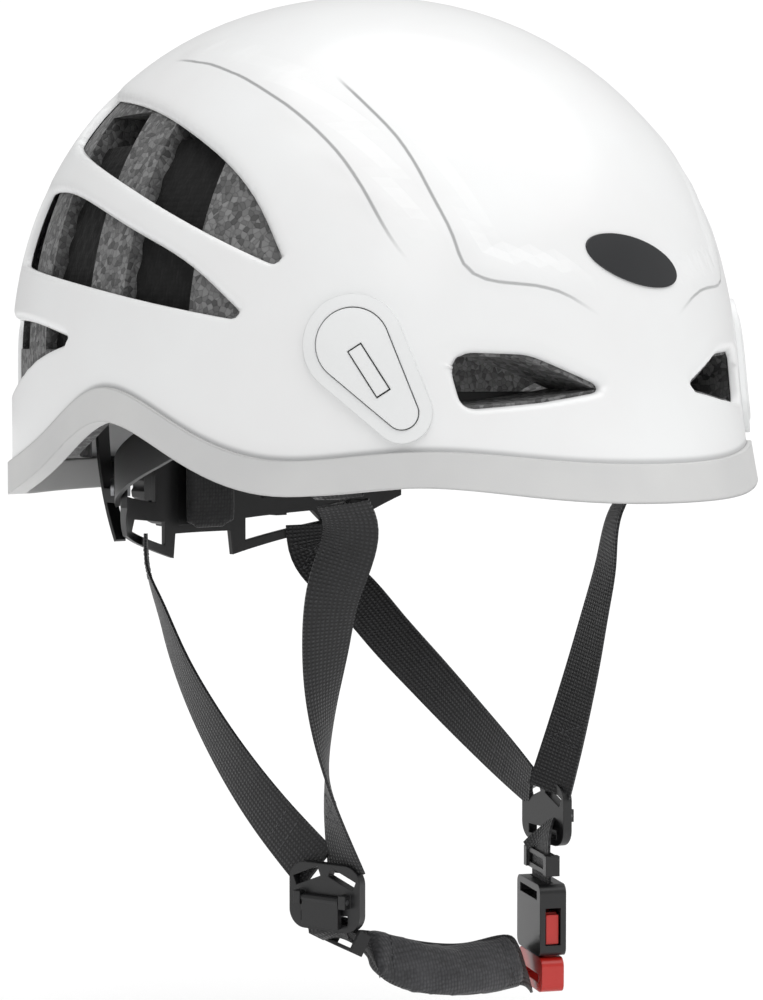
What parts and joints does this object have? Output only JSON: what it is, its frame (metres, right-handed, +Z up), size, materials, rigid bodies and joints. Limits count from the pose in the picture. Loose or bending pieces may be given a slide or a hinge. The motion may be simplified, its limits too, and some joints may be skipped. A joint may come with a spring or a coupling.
{
  "type": "climbing helmet",
  "caption": "Vented hard-shell climbing helmet with foam ribs, an adjustable nape cradle, accessory ports and a buckled chin harness.",
  "frame": {"origin": "middle of the head opening, in the plane of the rim", "axes": "+Z up to the crown, -Y to the front (brow), -X to the wearer's right"},
  "size_m": [0.2312, 0.2858, 0.3442],
  "materials": {
    "shell_abs": "moulded, satin gloss",
    "trim_tpe": "soft moulded edge",
    "foam_grey": "expanded bead foam",
    "liner_fabric": "brushed knit",
    "emblem_ink": "pad-printed film",
    "port_abs": "moulded, satin",
    "band_nylon": "moulded nylon",
    "webbing": "woven polyester",
    "sleeve_fabric": "padded knit sleeve",
    "fittings_nylon": "moulded nylon",
    "plug_red": "moulded acetal",
    "steel": "plated",
    "elastic": "moulded"
  },
  "bodies": {
    "helmet": {"outer_shell": "shell_abs", "edge_trim": "trim_tpe", "foam_liner": "foam_grey", "comfort_liner": "liner_fabric", "front_emblem": "emblem_ink", "brow_band": "band_nylon", "brow_pad": "liner_fabric", "temple_pins": "band_nylon", "strap_anchors": "band_nylon", "cheek_strap": "webbing", "buckle_socket": "fittings_nylon", "chin_strap": "webbing", "chin_pad": "sleeve_fabric", "strap_keeper": "elastic", "lock_pins": "steel", "port_frame_right": "port_abs", "hanger_clip_right": "band_nylon", "front_strap_right": "webbing", "rear_strap_right": "webbing", "divider_right": "fittings_nylon", "port_frame_left": "port_abs", "hanger_clip_left": "band_nylon", "front_strap_left": "webbing", "rear_strap_left": "webbing", "divider_left": "fittings_nylon"},
    "cradle": {"side_arm_right": "band_nylon", "side_arm_left": "band_nylon", "arm_rivets": "steel", "nape_cradle": "band_nylon", "nape_pad": "liner_fabric", "adjuster_housing": "band_nylon", "adjuster_cover": "band_nylon", "cover_screws": "steel", "detent_spring": "steel", "hanger_right": "band_nylon", "hanger_left": "band_nylon"},
    "wheel": {"adjuster_wheel": "band_nylon", "adjuster_pinion": "band_nylon", "wheel_screw": "steel"},
    "rack_right": {"rack_right": "band_nylon"},
    "rack_left": {"rack_left": "band_nylon"},
    "port_plug_right": {"port_plug_right": "port_abs"},
    "port_plug_left": {"port_plug_left": "port_abs"},
    "port_latch_right": {"port_latch_right": "port_abs"},
    "port_latch_left": {"port_latch_left": "port_abs"},
    "lock_right": {"divider_lock_right": "fittings_nylon"},
    "lock_left": {"divider_lock_left": "fittings_nylon"},
    "slider": {"strap_slider": "fittings_nylon"},
    "buckle_plug": {"buckle_plug": "plug_red"},
    "prong_front": {"prong_front": "plug_red"},
    "prong_rear": {"prong_rear": "plug_red"}
  },
  "joints": [
    {"name": "cradle_swing", "type": "hinge", "parent": "helmet", "child": "cradle", "pos_m": [0, 0, 0.02], "axis": [1, 0, 0], "range_deg": [-8, 8], "deforming": ["rear_strap_right", "rear_strap_left"]},
    {"name": "wheel_turn", "type": "hinge", "parent": "cradle", "child": "wheel", "pos_m": [0, 0.1127, -0.007], "axis": [0, 1, 0], "range_deg": [-20, 95]},
    {"name": "rack_right_slide", "type": "slide", "parent": "cradle", "child": "rack_right", "axis": [1, 0, 0], "range_m": [-0.0022, 0.0102]},
    {"name": "rack_left_slide", "type": "slide", "parent": "cradle", "child": "rack_left", "axis": [-1, 0, 0], "range_m": [-0.0022, 0.0102]},
    {"name": "slider_adjust", "type": "slide", "parent": "helmet", "child": "slider", "axis": [0, 0, 1], "range_m": [-0.0015, 0.001]},
    {"name": "buckle_release", "type": "slide", "parent": "helmet", "child": "buckle_plug", "axis": [0, 0, -1], "range_m": [0, 0.025], "deforming": ["chin_strap", "prong_front", "prong_rear"]},
    {"name": "prong_front_pinch", "type": "hinge", "parent": "buckle_plug", "child": "prong_front", "pos_m": [0.04228, -0.03981, -0.1661], "axis": [-0.891, 0.454, 0], "range_deg": [0, 6], "stiffness_Nm_per_rad": 0.05},
    {"name": "prong_rear_pinch", "type": "hinge", "parent": "buckle_plug", "child": "prong_rear", "pos_m": [0.04972, -0.02519, -0.1661], "axis": [0.891, -0.454, 0], "range_deg": [0, 6], "stiffness_Nm_per_rad": 0.05},
    {"name": "port_plug_right_out", "type": "slide", "parent": "helmet", "child": "port_plug_right", "axis": [-0.7564, -0.6541, 0], "range_m": [0, 0.012]},
    {"name": "port_latch_right_press", "type": "hinge", "parent": "port_plug_right", "child": "port_latch_right", "pos_m": [-0.0875, -0.08515, 0.04471], "axis": [0.5486, -0.6344, 0.5446], "range_deg": [0, 6], "stiffness_Nm_per_rad": 0.02},
    {"name": "divider_lock_right_open", "type": "hinge", "parent": "helmet", "child": "lock_right", "pos_m": [-0.0542, -0.0308, -0.1355], "axis": [-0.2419, 0.9703, 0], "range_deg": [0, 80]},
    {"name": "port_plug_left_out", "type": "slide", "parent": "helmet", "child": "port_plug_left", "axis": [0.7564, -0.6541, 0], "range_m": [0, 0.012]},
    {"name": "port_latch_left_press", "type": "hinge", "parent": "port_plug_left", "child": "port_latch_left", "pos_m": [0.0875, -0.08515, 0.04471], "axis": [0.5486, 0.6344, -0.5446], "range_deg": [0, 6], "stiffness_Nm_per_rad": 0.02},
    {"name": "divider_lock_left_open", "type": "hinge", "parent": "helmet", "child": "lock_left", "pos_m": [0.0542, -0.0308, -0.1185], "axis": [-0.2419, -0.9703, 0], "range_deg": [0, 80]}
  ],
  "couplings": [
    {"joint": "rack_right_slide", "follows": "wheel_turn", "m_per_rad": 0.006},
    {"joint": "rack_left_slide", "follows": "wheel_turn", "m_per_rad": 0.006}
  ]
}
